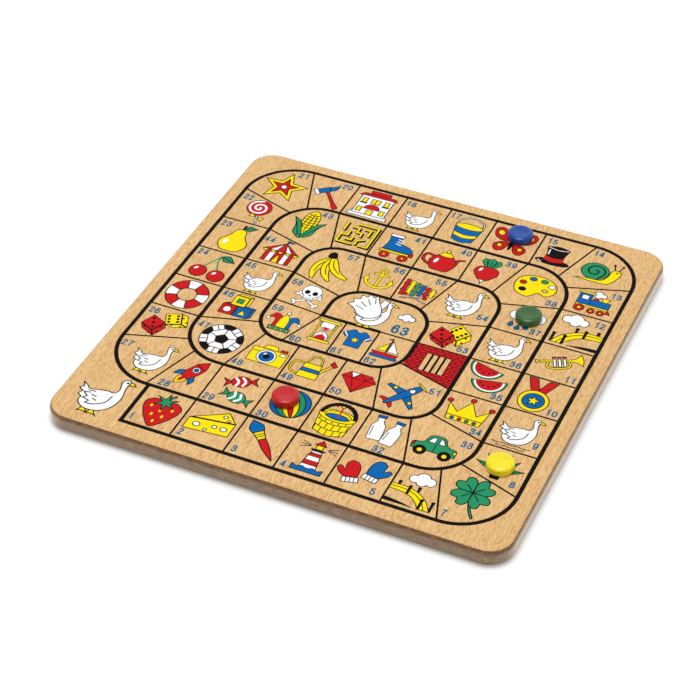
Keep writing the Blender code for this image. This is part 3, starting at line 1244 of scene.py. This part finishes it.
def bananas(pen):
    skin = [
        (0, 0), (-1.4, -12), (4, -22), (12, -27), (12, -27), (14, -25), (14, -25), (8, -17), (6, -8),
        (3.4, 0),
    ]
    for turn in (-34, -8, 18):
        fruit = pen.at(-7, 12, turn=turn)
        fruit.fill("yellow", soft(*skin))
        fruit.line((2, -4), (2.6, -12), (7, -20))
    pen.flat("black", soft((-10, 11), (-9, 17), (-5, 17.4), (-3, 11)))


def bone(pen):
    knobs = [oval(x, y, 2.6) for x in (-14, 14) for y in (-2, 2)]
    pen.fill("white", box(0, 0, 27, 3.6), *knobs)


def skull(pen):
    for turn in (-32, 32):
        bone(pen.at(0, -8, turn=turn))
    pen.fill("white", both((0, 16), (8, 14), (11, 6), (8.4, -1), (5.6, -3), (5, -8), (0, -8.6)))
    for side in (-1, 1):
        pen.flat("black", oval(side * 4.4, 4, 3, 3.4))
    pen.flat("black", [(-1.6, -1.6), (1.6, -1.6), (0, 1.6)])
    for x in (-2.4, 0, 2.4):
        pen.line((x, -8), (x, -4.4))


def jester_cap(pen):
    horn = [(10, -8), (10, -8), (10, 4), (17, 4), (17, 4), (12, 13), (3, 8), (1, -8), (1, -8)]
    for side, ink in zip(pen.sides(), ("blue", "red")):
        side.fill(ink, soft(*horn))
    pen.fill("yellow", both((0, 15), (0, 15), (5, 6), (5.6, -8), (5.6, -8)))
    for x, y in ((-17, 2.4), (17, 2.4), (0, 16)):
        pen.fill("white", oval(x, y, 2.4))
    pen.fill("green", box(0, -10.4, 24, 6))
    for x in range(-9, 10, 6):
        pen.fill("yellow", oval(x, -10.4, 1.7))


def hourglass(pen):
    for x in (-9, 9):
        pen.fill("yellow", box(x, 0, 2.4, 26))
    pen.fill("white", both((7, 14), (7, 14), (7, 6), (1.2, 0), (7, -6), (7, -14), (7, -14)))
    pen.flat("red", both((0, -5.4), (5, -9), (6, -13.4), (6, -13.4)))
    pen.flat("red", both((0, 0.6), (0, 0.6), (4.6, 6), (4.6, 6)))
    pen.line((0, 1), (0, -8), ink="red")
    for y in (-15.4, 15.4):
        pen.fill("yellow", box(0, y, 24, 4))


def tee_shirt(pen):
    half = [
        (0, 10), (4.4, 13), (4.4, 13), (8, 12.4), (17, 4), (17, 4), (12, -1.6), (12, -1.6), (9, 1),
        (9, 1), (9, -15), (9, -15),
    ]
    pen.fill("blue", both(*half))
    pen.fill("yellow", star(0, -3, 6.4, 2.8, 5))
    for side in (-1, 1):
        pen.line((side * 14.6, 6), (side * 10, 1), ink="white", width=1.3)


def sailing_boat(pen):
    pen.fill("white", [(1, 15), (1, -5), (14, -5)])
    pen.fill("yellow", [(-1, 11), (-1, -5), (-12, -5)])
    pen.flat("black", box(0, 4, 1.6, 27))
    pen.fill("red", [(0.6, 18), (0.6, 14), (-6, 16)])
    pen.fill("red", soft((-16, -7), (-16, -7), (16, -7), (16, -7), (10, -14), (-10, -14)))
    crest = [(x, -11.4 - 1.5 * (x % 8 == 0)) for x in range(-16, 17, 4)]
    pen.fill("blue", soft((-15, -17), (-15, -17), *crest, (15, -17), (15, -17)))


def flapping_goose(pen):
    far_tips = [(3, 22.2), (3, 22.2), (5, 18.6), (5, 18.6), (7.6, 20.4), (7.6, 20.4)]
    pen.fill("white", soft((0, 6), (0, 6), (1.4, 15), *far_tips, (7.4, 13), (5.2, 5), (5.2, 5)))
    goose(pen)
    upper = [
        (-3.4, 22.4), (-3.4, 22.4), (-5.6, 18.8), (-5.6, 18.8), (-9.6, 21.6), (-9.6, 21.6),
        (-11, 17.4), (-11, 17.4),
    ]
    middle = [
        (-15.6, 18.4), (-15.6, 18.4), (-15.4, 13), (-15.4, 13), (-20.4, 12), (-20.4, 12),
        (-18.4, 7.6), (-18.4, 7.6),
    ]
    lower = [(-22.6, 4), (-22.6, 4), (-16, 1), (-10, -5), (-2, -7), (5, -3)]
    pen.fill("white", soft((7, 2), (4.6, 9), (0.6, 15), *upper, *middle, *lower))
    quills = (
        ((-4, 17.6), (-2, 12)),
        ((-9, 14.6), (-5, 9)),
        ((-13, 10), (-7, 6)),
        ((-15, 4.6), (-8, 2.4)),
    )
    for quill in quills:
        pen.line(*quill)
    puff(pen, 26.4, 5.3, 0.87)


def prison(pen):
    """Brickwork that fills its space, with a barred window."""
    pen.flat("red", [(-24.5, 21.7), (23.5, 21.7), (23.5, -21.7), (-27, -7.4)])
    for course in range(14):
        y = 21.7 - 3.3 * course
        pen.flat("black", box(-1.5, y, 50, 0.75))
        for joint in range(9):
            x = -24.5 + 6.2 * joint - 3.1 * (course % 2)
            pen.flat("black", box(x, y - 1.65, 0.75, 3.3))
    pen.flat(BARE, [(-27, -7.4), (23.5, -21.7), (23.5, -30), (-27, -30)])
    for side in (-1, 1):
        pen.flat(BARE, box(26 * side, 0, 5, 60))
    pen.fill(BARE, box(0.5, 2, 22, 23))
    for x in (-5, 0.5, 6):
        pen.flat("black", box(x, 2, 2, 23))


PICTURES = (
    strawberry, cheese, paintbrush, lighthouse, mittens, bridge, clover,
    aloe, swimming_goose, medal, trumpet, mirrored_bridge, train, snail,
    top_hat, butterfly, bucket, goose, inn, hammer, red_star,
    lollipop, pear, cherries, lifebuoy, dice, goose,
    rocket, sweets, beach_ball, well, milk_bottles, car,
    crown, melon_slices, goose, rain_cloud, palette,
    radish, teapot, roller_skate, maze, corn,
    tent, goose, toy_blocks, football,
    camera_picture, watering_can, gem, aeroplane,
    prison, turned_dice, goose,
    xylophone, anchor, bananas,
    skull, jester_cap,
)
# How far a picture sits right and up of the middle of its cell, in millimetres, and its size
CENTRED = (0, 0, 1.18)
PLACED = {
    1: (3, -0.8, 1.17), 2: (0, 4.5, 1.15), 3: (1.5, 1, 1.25), 4: (2.5, 1.2, 1.1),
    5: (-0.5, 0.5, 1.06), 6: (0, -6, 1.0), 7: (-9, 10, 1.25), 8: (-0.8, 5, 0.92), 9: (-2, -3, 1.08),
    10: (-4, 0.2, 1.2), 11: (0, 3, 1.05), 12: (-1.9, -5.6, 1.08), 13: (-0.8, -5, 0.98),
    14: (-10.5, -9.5, 1.12), 15: (-5.7, -4, 0.9), 17: (2.5, -1, 1.12), 18: (0, -2.5, 0.98),
    20: (2.5, -3.2, 1.02), 21: (7.5, -6.5, 1.28), 22: (2.2, -3.8, 0.99), 23: (2.5, -1, 1.18),
    24: (1.5, -1, 1.12), 26: (-1, 4, 0.97), 27: (12, 6, 1.1), 28: (6, 3, 1.0), 29: (2.2, 0.6, 1.15),
    30: (2.5, 2.5, 1.15), 31: (0, 0.5, 1.06), 32: (-4, 5, 0.95), 33: (-8, 5, 1.1),
    34: (0, 4.5, 1.05), 35: (-1, 2.7, 1.1), 36: (-1.5, 0.8, 1.08), 37: (2, -3.5, 0.95),
    38: (-7, -4, 1.15), 39: (-5.5, -1.5, 1.06), 40: (-0.3, -2.5, 1.05), 41: (-2, -1.5, 1.08),
    42: (4.6, 1, 0.92), 43: (5, -3.5, 1.25), 44: (0.5, -3.6, 1.02), 45: (0.5, -2, 1.0),
    46: (1, 4.6, 0.88), 47: (7, 4.5, 1.2), 48: (5, 2, 0.95), 49: (-0.7, 3, 1.02),
    50: (-3.2, 2, 0.92), 51: (-8, 2, 1.0), 52: (0, 0, 1.0), 53: (-1.5, -0.8, 0.96),
    54: (-8, -4.5, 1.12), 55: (-4, -2.5, 0.9), 56: (2.7, -1.5, 0.84), 57: (6, -5, 1.2),
    58: (2.5, -1.6, 0.82), 59: (-2.6, -1, 0.84),
}
# The pictures of the last spaces and the start, by their place on the board
LAST_PICTURES = (
    (hourglass, -33, -18.2, 0.84),
    (tee_shirt, -5, -16, 0.8),
    (sailing_boat, 24.8, -17.6, 0.77),
    (goose, -164.5, -164.5, 1.36),
)
FINISH_GOOSE = (-6.2, 18.9, 1.12)
# These run up to the lines of their spaces, which are printed over them.
UNDER_LINES = (prison, bridge, mirrored_bridge)


def picture_plate(picture, x, y, size):
    plate = []
    picture(Pen(plate, *TRACK_MIDDLE).at(x, y, size=size))
    return plate


for number, (cell, picture) in enumerate(zip(cells, PICTURES), start=1):
    right, up, size = PLACED.get(number, CENTRED)
    x, y = cell_middle(cell)
    plate = picture_plate(picture, x + right, y + up, size)
    if picture in UNDER_LINES:
        face_plates[0][:0] = plate
    else:
        face_plates.append(plate)
for last_picture in LAST_PICTURES:
    face_plates.append(picture_plate(*last_picture))
# The last goose stands across the finish line.
face_plates[0] += picture_plate(flapping_goose, *FINISH_GOOSE)

# Print: each spot of the face takes one ink. The shapes are trimmed against those laid over them, and
# every ink is a thin film on the veneer that lets a little of the grain show.
FILM_THICKNESS = 0.00004
FILM_DEPTH = 0.00001
TRIM_TOLERANCE = 1e-4
TRIANGLES_INSIDE = 1
INK_WEAR = 0.92
INK_DUST = 12
INKS = {
    "black": (16, 11, 8),
    "red": (203, 24, 28),
    "yellow": (253, 226, 12),
    "blue": (0, 100, 174),
    "petrol": (0, 100, 142),
    "green": (38, 146, 98),
    "white": (252, 251, 253),
}


def winds_round(outline, x, y):
    """How often an outline goes round a point, counting turns to the left."""
    turns = 0
    for (x_from, y_from), (x_to, y_to) in zip(outline, [*outline[1:], outline[0]]):
        if (y_from > y) != (y_to > y) and x < x_from + (y - y_from) * (x_to - x_from) / (y_to - y_from):
            turns += 1 if y_to > y_from else -1
    return turns


def press(plate, films):
    """Cut a plate's shapes along all their edges, and give each bit to the ink uppermost there."""
    shapes, points, rims = [], [], []
    for ink, outline in plate:
        leftward = normal([(x, y, 0) for x, y in outline]).z > 0
        outline = outline if leftward else outline[::-1]
        low, high = ((edge(x for x, _ in outline), edge(y for _, y in outline)) for edge in (min, max))
        shapes.insert(0, (ink, outline, low, high))
        rims.append(range(len(points), len(points) + len(outline)))
        points += [Vector(point) for point in outline]
    spots, _, bits, *_ = delaunay_2d_cdt(points, [], rims, TRIANGLES_INSIDE, TRIM_TOLERANCE)
    shared = {}
    for bit in bits:
        x, y = sum((spots[index] for index in bit), Vector((0, 0))) / len(bit)
        inks = (
            ink
            for ink, outline, low, high in shapes
            if low[0] < x < high[0] and low[1] < y < high[1] and winds_round(outline, x, y) > 0
        )
        ink = next(inks, BARE)
        if ink == BARE:
            continue
        for index in bit:
            if (ink, index) not in shared:
                shared[ink, index] = films[ink].verts.new((*spots[index] * MILLIMETRE, 0))
        films[ink].faces.new([shared[ink, index] for index in bit])


def thicken(film):
    """Give a flat film its thickness, soaked a little into the wood."""
    bmesh.ops.translate(film, verts=film.verts[:], vec=(0, 0, -FILM_DEPTH))
    raised = bmesh.ops.extrude_face_region(film, geom=film.faces[:])
    raised_verts = [item for item in raised["geom"] if isinstance(item, bmesh.types.BMVert)]
    bmesh.ops.translate(film, verts=raised_verts, vec=(0, 0, FILM_DEPTH + FILM_THICKNESS))
    bmesh.ops.recalc_face_normals(film, faces=film.faces[:])


def ink_finish(ink):
    finish = Finish(ink + "_ink")
    finish.set(Roughness=0.55, Specular_IOR_Level=0.05)
    places = finish.node("TexCoord").outputs["Object"]
    figure = finish.node("Group", node_tree=beech_figure)
    finish.tree.links.new(places, figure.inputs["Place"])
    cover = noise(finish.tree, stretch(finish.tree, places, (160, 90, 160)), 3)
    patchy = {0: figure.outputs["Fleck"], 1: cover}
    thin = finish.node("Math", patchy, operation="MULTIPLY").outputs["Value"]
    worn = tuple(level * INK_WEAR + INK_DUST for level in INKS[ink])
    finish.link(ramp(finish.tree, thin, INKS[ink], worn, 0.0, 0.6), "Base Color")
    bump = finish.node("Bump", {"Height": figure.outputs["Height"], "Strength": 0.05, "Distance": 0.0002})
    finish.link(bump.outputs["Normal"], "Normal")
    return finish.material


ink_finishes = {ink: ink_finish(ink) for ink in INKS}
face_films = {ink: bmesh.new() for ink in INKS}
for plate in face_plates:
    press(plate, face_films)
for ink, film in face_films.items():
    thicken(film)
    bmesh.ops.translate(film, verts=film.verts[:], vec=(0, 0, board_top))
    add_piece("print_" + ink, film, ink_finishes[ink], "board")

# Underside: boards of this kind are printed on both faces, so the back carries the other traditional
# game, the cross of parcheesi, screen-printed in the same inks with its numberless spaces and homes.
CROSS_HALF = 176.0
CROSS_ARM = 52.0
ARM_ROWS = 8
START_ROW = 3.5
SAFE_RING = 5.2
HOME_RING = 46.0
HOME_PATCH = 33.0
HOME_SPOT = 9.0
SPOT_OFFSET = 13.5
CROSS_INKS = ("red", "blue", "yellow", "green")

lane = 2 * CROSS_ARM / 3
row = (CROSS_HALF - CROSS_ARM) / ARM_ROWS
arm_middle = (CROSS_HALF + CROSS_ARM) / 2
cross_plate = []
for quarter, ink in enumerate(CROSS_INKS):
    arm = Pen(cross_plate, 0, 0, turn=90 * quarter)
    arm.flat(ink, [(0, 0), (CROSS_ARM, CROSS_ARM), (-CROSS_ARM, CROSS_ARM)])
    arm.flat(ink, box(0, arm_middle - row / 2, lane, CROSS_HALF - CROSS_ARM - row))
    arm.flat(ink, box(lane, CROSS_ARM + START_ROW * row, lane, row))
    for step in range(ARM_ROWS):
        arm.flat("black", box(0, CROSS_ARM + step * row, 2 * CROSS_ARM, SPACE_LINE))
    for side in (-1.5, -0.5, 0.5, 1.5):
        arm.flat("black", box(side * lane, arm_middle, SPACE_LINE, CROSS_HALF - CROSS_ARM))
    arm.flat("black", box(0, CROSS_HALF, 2 * CROSS_HALF + TRACK_LINE, TRACK_LINE))
    arm.flat("black", ribbon(SPACE_LINE, [(0, 0), (CROSS_ARM, CROSS_ARM)]))
    for x, step in ((-lane, START_ROW), (lane, START_ROW), (0, ARM_ROWS - 0.5)):
        arm.fill("white", oval(x, CROSS_ARM + step * row, SAFE_RING))
    home = arm.at(arm_middle, arm_middle)
    home.fill(ink, oval(0, 0, HOME_RING))
    home.fill("white", oval(0, 0, HOME_PATCH))
    for turn in range(0, 360, 90):
        home.at(0, 0, turn=turn).fill(ink, oval(SPOT_OFFSET, SPOT_OFFSET, HOME_SPOT))

back_films = {ink: bmesh.new() for ink in INKS if ink != NUMBER_INK}
press(cross_plate, back_films)
turned_over = Matrix.Rotation(math.pi, 3, "X")
for ink, film in back_films.items():
    thicken(film)
    bmesh.ops.rotate(film, verts=film.verts[:], cent=(0, 0, 0), matrix=turned_over)
    add_piece("back_print_" + ink, film, ink_finishes[ink], "board")

# Counters: small discs turned from hardwood, with a rounded shoulder and a shallow dish in the top,
# dipped in gloss paint, one of each colour. They lie loose on the spaces.
COUNTER_CROWN = 0.0045
CROWN_FROM = 80
CROWN_TO = 48
COUNTER_EDGE = 0.0009
COUNTER_FOOT = 0.0012
COUNTER_RIM = 0.0012
COUNTER_DISH_DEPTH = 0.0008
COUNTER_SPIN_STEPS = 96
COUNTER_CREASE = 9
ARC_STEPS = 8
RING_PITCH = 0.0011
PAINT_SHADE = 0.92
PAINTS = {
    "red": ((202, 18, 26), 0.15),
    "blue": ((0, 70, 162), 0.22),
    "green": ((54, 102, 50), 0.2),
    "yellow": ((252, 234, 6), 0.2),
}


def arc(centre, radius, start, end):
    """Points in the XZ plane along an arc, from one angle in degrees to another."""
    points = []
    for step in range(ARC_STEPS + 1):
        x, z = polar(radius, start + (end - start) * step / ARC_STEPS, *centre)
        points.append((x, 0, z))
    return points


def counter_section(radius, height):
    """Half section of a counter: dish, level rim, crowned shoulder, tight edge, wall and foot."""
    rise = math.sin(math.radians(CROWN_TO))
    run = math.cos(math.radians(CROWN_TO))
    crown_x = radius - COUNTER_EDGE - (COUNTER_CROWN - COUNTER_EDGE) * run
    crown_z = height - COUNTER_CROWN * math.sin(math.radians(CROWN_FROM))
    edge_z = crown_z + (COUNTER_CROWN - COUNTER_EDGE) * rise
    dish = crown_x + COUNTER_CROWN * math.cos(math.radians(CROWN_FROM)) - COUNTER_RIM
    bowl = (dish**2 + COUNTER_DISH_DEPTH**2) / (2 * COUNTER_DISH_DEPTH)
    dish_angle = math.degrees(math.asin(dish / bowl))
    section = arc((0, height - COUNTER_DISH_DEPTH + bowl), bowl, -90, dish_angle - 90)
    section += arc((crown_x, crown_z), COUNTER_CROWN, CROWN_FROM, CROWN_TO)
    section += arc((radius - COUNTER_EDGE, edge_z), COUNTER_EDGE, CROWN_TO, 0)[1:]
    section += arc((radius - COUNTER_FOOT, COUNTER_FOOT), COUNTER_FOOT, 0, -90)
    return [*section, (0, 0, 0)]


def turned_counter(low, high):
    shape = bmesh.new()
    points = [shape.verts.new(point) for point in counter_section((high.x - low.x) / 2, high.z - low.z)]
    edges = [shape.edges.new(pair) for pair in zip(points, points[1:])]
    bmesh.ops.spin(
        shape,
        geom=points + edges,
        cent=(0, 0, 0),
        axis=(0, 0, 1),
        angle=math.tau,
        steps=COUNTER_SPIN_STEPS,
        use_merge=True,
    )
    bmesh.ops.remove_doubles(shape, verts=shape.verts[:], dist=MERGE_DISTANCE)
    bmesh.ops.recalc_face_normals(shape, faces=shape.faces[:])
    middle = (low + high) / 2
    bmesh.ops.translate(shape, verts=shape.verts[:], vec=(middle.x, middle.y, low.z))
    return shape


def paint_finish(colour, srgb, gloss, middle):
    """Gloss paint over the fine rings that the turning tool left, with a thinner coat on the crests."""
    finish = Finish(colour + "_gloss_paint")
    finish.set(Roughness=0.3, Specular_IOR_Level=0.35, Coat_Weight=gloss, Coat_Roughness=0.12)
    places = finish.node("TexCoord").outputs["Object"]
    shift = {"Vector": places, "Location": (-middle.x, -middle.y, 0)}
    centred = finish.node("Mapping", shift).outputs["Vector"]
    flat = finish.node("VectorMath", {0: centred, 1: (1, 1, 0)}, operation="MULTIPLY").outputs["Vector"]
    reach = finish.node("VectorMath", {0: flat}, operation="LENGTH").outputs["Value"]
    wander = noise(finish.tree, stretch(finish.tree, places, (90, 90, 90)), 2)
    angle = finish.node("Math", {0: reach, 1: math.tau / RING_PITCH, 2: wander}, operation="MULTIPLY_ADD")
    rings = finish.node("Math", {0: angle.outputs["Value"]}, operation="SINE").outputs["Value"]
    mottle = noise(finish.tree, stretch(finish.tree, places, (500, 500, 500)), 2)
    uneven = finish.node("Math", {0: rings, 1: 0.16, 2: mottle}, operation="MULTIPLY_ADD").outputs["Value"]
    shade = tuple(level * PAINT_SHADE for level in srgb)
    finish.link(ramp(finish.tree, uneven, shade, srgb, 0.2, 0.65), "Base Color")
    bump = finish.node("Bump", {"Height": uneven, "Strength": 0.06, "Distance": 0.0002})
    finish.link(bump.outputs["Normal"], "Normal")
    return finish.material


for colour, (srgb, gloss) in PAINTS.items():
    low, high = (Vector(corner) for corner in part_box("counter_" + colour))
    paint = paint_finish(colour, srgb, gloss, (low + high) / 2)
    shape = turned_counter(low, high)
    body, slot = colour + "_counter", colour + "_paint"
    piece = add_piece("painted_" + colour, shape, paint, body, COUNTER_CREASE)
    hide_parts("counter_" + colour)

# Stage: a seamless white table top in a pale room with a white wall behind, lit by one broad soft box
# overhead, as a catalogue picture is. Seen by the camera and in reflections, the table is pure white.
FLOOR_HALF = 30.0
FLOOR_DROP = 0.0002
FLOOR_WHITE = 0.9
FLOOR_LIFT = 0.24
ROOM_LIGHT = 0.42
WALL_LIGHT = 0.9
WALL_BEGINS = 0.2
WALL_FULL = 0.7
LAMP_PLACE = Vector((-0.02, -0.12, 2.0))
LAMP_SIZE = 1.1
LAMP_POWER = 23.0
floor_shape = bmesh.new()
bmesh.ops.create_grid(floor_shape, x_segments=1, y_segments=1, size=FLOOR_HALF)
bmesh.ops.translate(floor_shape, verts=floor_shape.verts[:], vec=(0, 0, -FLOOR_DROP))
floor_mesh = bpy.data.meshes.new("table_top")
floor_shape.to_mesh(floor_mesh)
floor_shape.free()
table = bpy.data.objects.new("table_top", floor_mesh)
bpy.context.collection.objects.link(table)
table_finish = Finish("white_table")
table_finish.set(Base_Color=(FLOOR_WHITE, FLOOR_WHITE, FLOOR_WHITE, 1), Roughness=0.9)
table_finish.set(Specular_IOR_Level=0.0, Emission_Color=(1, 1, 1, 1))


def seen_or_mirrored(tree):
    """One on rays from the camera, and on those that gloss or glass sends on."""
    path = add_node(tree, "LightPath").outputs
    sent_on = {0: path["Is Glossy Ray"], 1: path["Is Transmission Ray"]}
    mirrored = add_node(tree, "Math", sent_on, operation="MAXIMUM").outputs["Value"]
    seen = {0: path["Is Camera Ray"], 1: mirrored}
    return add_node(tree, "Math", seen, operation="MAXIMUM").outputs["Value"]


table_seen = seen_or_mirrored(table_finish.tree)
glow = table_finish.node("Math", {0: table_seen, 1: FLOOR_LIFT}, operation="MULTIPLY")
table_finish.link(glow.outputs["Value"], "Emission Strength")
floor_mesh.materials.append(table_finish.material)

room = bpy.data.worlds.new("pale_room")
room.use_nodes = True
backdrop = room.node_tree.nodes["Background"]
backdrop.inputs["Color"].default_value = (1, 1, 1, 1)
heading = add_node(room.node_tree, "TexCoord").outputs["Generated"]
towards_back = add_node(room.node_tree, "SeparateXYZ", {"Vector": heading}).outputs["Y"]
wall = {
    "Value": towards_back,
    "From Min": WALL_BEGINS,
    "From Max": WALL_FULL,
    "To Min": ROOM_LIGHT,
    "To Max": WALL_LIGHT,
}
strength = add_node(room.node_tree, "MapRange", wall).outputs["Result"]
room.node_tree.links.new(strength, backdrop.inputs["Strength"])
bpy.context.scene.world = room

lamp = bpy.data.lights.new("soft_box", "AREA")
lamp.size = LAMP_SIZE
lamp.energy = LAMP_POWER
lamp_holder = bpy.data.objects.new("soft_box", lamp)
lamp_holder.location = LAMP_PLACE
lamp_holder.rotation_euler = (-LAMP_PLACE).to_track_quat("-Z", "Y").to_euler()
bpy.context.collection.objects.link(lamp_holder)

# Camera: stands in front of the board and a little to its right, well above it, with a long lens that
# keeps the far edge nearly as long as the near one. Its place was found from the board's corners.
VIEW_AIM = Vector((-0.0034, -0.0305, 0.016))
VIEW_AZIMUTH = math.radians(24.68)
VIEW_ELEVATION = math.radians(40.44)
VIEW_DISTANCE = 1.6477
VIEW_ROLL = math.radians(-0.33)
VIEW_LENS = 102.4
SENSOR_WIDTH = 36
camera = bpy.data.cameras.new("photo_camera")
camera.lens = VIEW_LENS
camera.sensor_width = SENSOR_WIDTH
camera_holder = bpy.data.objects.new("photo_camera", camera)
level = Vector((math.sin(VIEW_AZIMUTH), -math.cos(VIEW_AZIMUTH), 0)) * math.cos(VIEW_ELEVATION)
camera_holder.location = VIEW_AIM + (level + Vector((0, 0, math.sin(VIEW_ELEVATION)))) * VIEW_DISTANCE
turn = (VIEW_AIM - camera_holder.location).to_track_quat("-Z", "Y").to_matrix()
camera_holder.rotation_euler = (turn @ Matrix.Rotation(VIEW_ROLL, 3, "Z")).to_euler()
bpy.context.collection.objects.link(camera_holder)
bpy.context.scene.camera = camera_holder

bpy.context.scene.view_settings.view_transform = "Standard"
